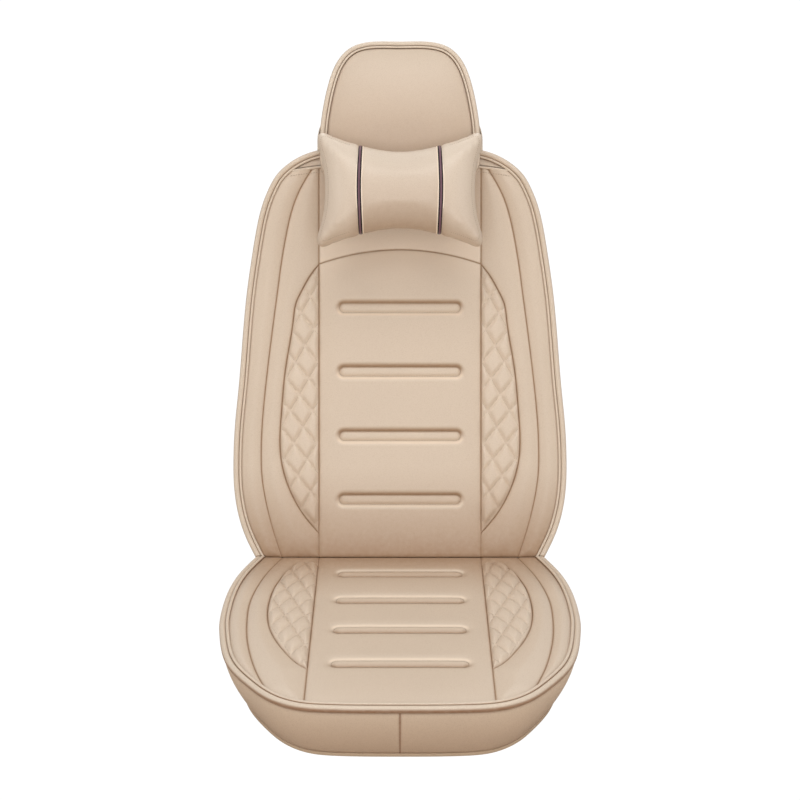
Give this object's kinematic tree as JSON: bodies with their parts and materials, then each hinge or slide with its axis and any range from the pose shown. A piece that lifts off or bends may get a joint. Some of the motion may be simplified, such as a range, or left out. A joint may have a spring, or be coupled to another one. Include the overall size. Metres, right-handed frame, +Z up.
{
  "type": "seat cover set",
  "caption": "Front seat cover set for a bucket seat: quilted cushion and backrest covers with double piping, a headrest cover and a bow-shaped neck pillow.",
  "frame": {"origin": "middle of the bite line, where the cushion cover meets the backrest cover", "axes": "+X to the right seen from the front, +Y to the rear, +Z up; the cushion runs towards -Y and the backrest leans towards +Y"},
  "size_m": [0.5341, 0.8351, 0.8468],
  "materials": {
    "leather": "satin",
    "quilted_leather": "satin",
    "piping": "satin",
    "dark_piping": "satin",
    "pillow_leather": "satin",
    "sponge": "matte",
    "filling": "matte",
    "strap_plastic": "matte",
    "webbing": "matte",
    "elastic": "matte",
    "hook_steel": "satin",
    "zip_metal": "satin",
    "zip_tape": "matte",
    "backing": "matte",
    "binding": "satin"
  },
  "bodies": {
    "cushion_cover": {"seat_centre_panel": "leather", "seat_centre_sponge": "sponge", "seat_quilt_left": "quilted_leather", "seat_quilt_right": "quilted_leather", "seat_inner_bolster_left": "leather", "seat_inner_bolster_right": "leather", "seat_outer_bolster_left": "leather", "seat_outer_bolster_right": "leather", "seat_welt_outer": "piping", "seat_welt_inner": "piping", "skirt_left": "leather", "skirt_right": "leather", "hem_binding": "binding", "tuck_flap": "backing", "anchor_cord_left": "elastic", "anchor_cord_right": "elastic", "buckle_socket": "strap_plastic", "under_strap_left": "webbing", "under_strap_right": "webbing"},
    "buckle_plug": {"buckle_plug": "strap_plastic"},
    "anchor_toggle_left": {"anchor_toggle_left": "strap_plastic"},
    "anchor_toggle_right": {"anchor_toggle_right": "strap_plastic"},
    "backrest_cover": {"back_centre_panel": "leather", "back_centre_sponge": "sponge", "back_yoke_panel": "leather", "back_hood": "leather", "back_quilt_left": "quilted_leather", "back_quilt_right": "quilted_leather", "back_inner_bolster_left": "leather", "back_inner_bolster_right": "leather", "back_outer_bolster_left": "leather", "back_outer_bolster_right": "leather", "back_gusset_left": "leather", "back_gusset_right": "leather", "back_welt_outer": "piping", "back_welt_inner": "piping", "back_rear_panel": "leather", "rear_pocket": "leather", "pocket_elastic": "elastic", "hook_loop_left": "elastic", "hook_loop_right": "elastic"},
    "hook_left": {"hook_left": "hook_steel"},
    "hook_right": {"hook_right": "hook_steel"},
    "headrest_cover": {"headrest_front_panel": "leather", "headrest_rear_panel": "leather", "headrest_gusset": "leather", "headrest_welt_outer": "piping", "headrest_welt_inner": "piping"},
    "headrest_flap": {"headrest_flap": "leather"},
    "neck_pillow": {"pillow_shell_left": "pillow_leather", "pillow_shell_centre": "pillow_leather", "pillow_shell_right": "pillow_leather", "pillow_filling": "filling", "pillow_band": "elastic", "pillow_zip": "zip_tape", "pillow_cord_left": "dark_piping", "pillow_cord_right": "dark_piping"},
    "band_slider": {"band_slider": "strap_plastic"},
    "zip_slider": {"zip_slider": "zip_metal"}
  },
  "joints": [
    {"name": "backrest_fold", "type": "hinge", "parent": "cushion_cover", "child": "backrest_cover", "pos_m": [0, 0, 0], "axis": [1, 0, 0], "range_deg": [-35, 15]},
    {"name": "headrest_height", "type": "slide", "parent": "backrest_cover", "child": "headrest_cover", "axis": [0, 0.3746, 0.9272], "range_m": [0, 0.07]},
    {"name": "pillow_height", "type": "slide", "parent": "headrest_cover", "child": "neck_pillow", "axis": [0, 0.3746, 0.9272], "range_m": [-0.01, 0.05]},
    {"name": "headrest_flap_open", "type": "hinge", "parent": "headrest_cover", "child": "headrest_flap", "pos_m": [0, 0.17012, 0.56976], "axis": [-1, 0, 0], "range_deg": [0, 85]},
    {"name": "band_adjust", "type": "slide", "parent": "neck_pillow", "child": "band_slider", "axis": [1, 0, 0], "range_m": [-0.15, 0.06]},
    {"name": "zip_run", "type": "slide", "parent": "neck_pillow", "child": "zip_slider", "axis": [1, 0, 0], "range_m": [0, 0.105]},
    {"name": "buckle_release", "type": "slide", "parent": "cushion_cover", "child": "buckle_plug", "axis": [1, 0, 0], "range_m": [0, 0.03]},
    {"name": "anchor_turn_left", "type": "hinge", "parent": "cushion_cover", "child": "anchor_toggle_left", "pos_m": [-0.07, -0.0035, -0.0536], "axis": [0, 0, 1], "range_deg": [-90, 90]},
    {"name": "hook_swing_left", "type": "hinge", "parent": "backrest_cover", "child": "hook_left", "pos_m": [-0.15, 0.06571, -0.03675], "axis": [1, 0, 0], "range_deg": [-40, 35]},
    {"name": "anchor_turn_right", "type": "hinge", "parent": "cushion_cover", "child": "anchor_toggle_right", "pos_m": [0.07, -0.0035, -0.0536], "axis": [0, 0, 1], "range_deg": [-90, 90]},
    {"name": "hook_swing_right", "type": "hinge", "parent": "backrest_cover", "child": "hook_right", "pos_m": [0.15, 0.06571, -0.03675], "axis": [1, 0, 0], "range_deg": [-40, 35]}
  ]
}
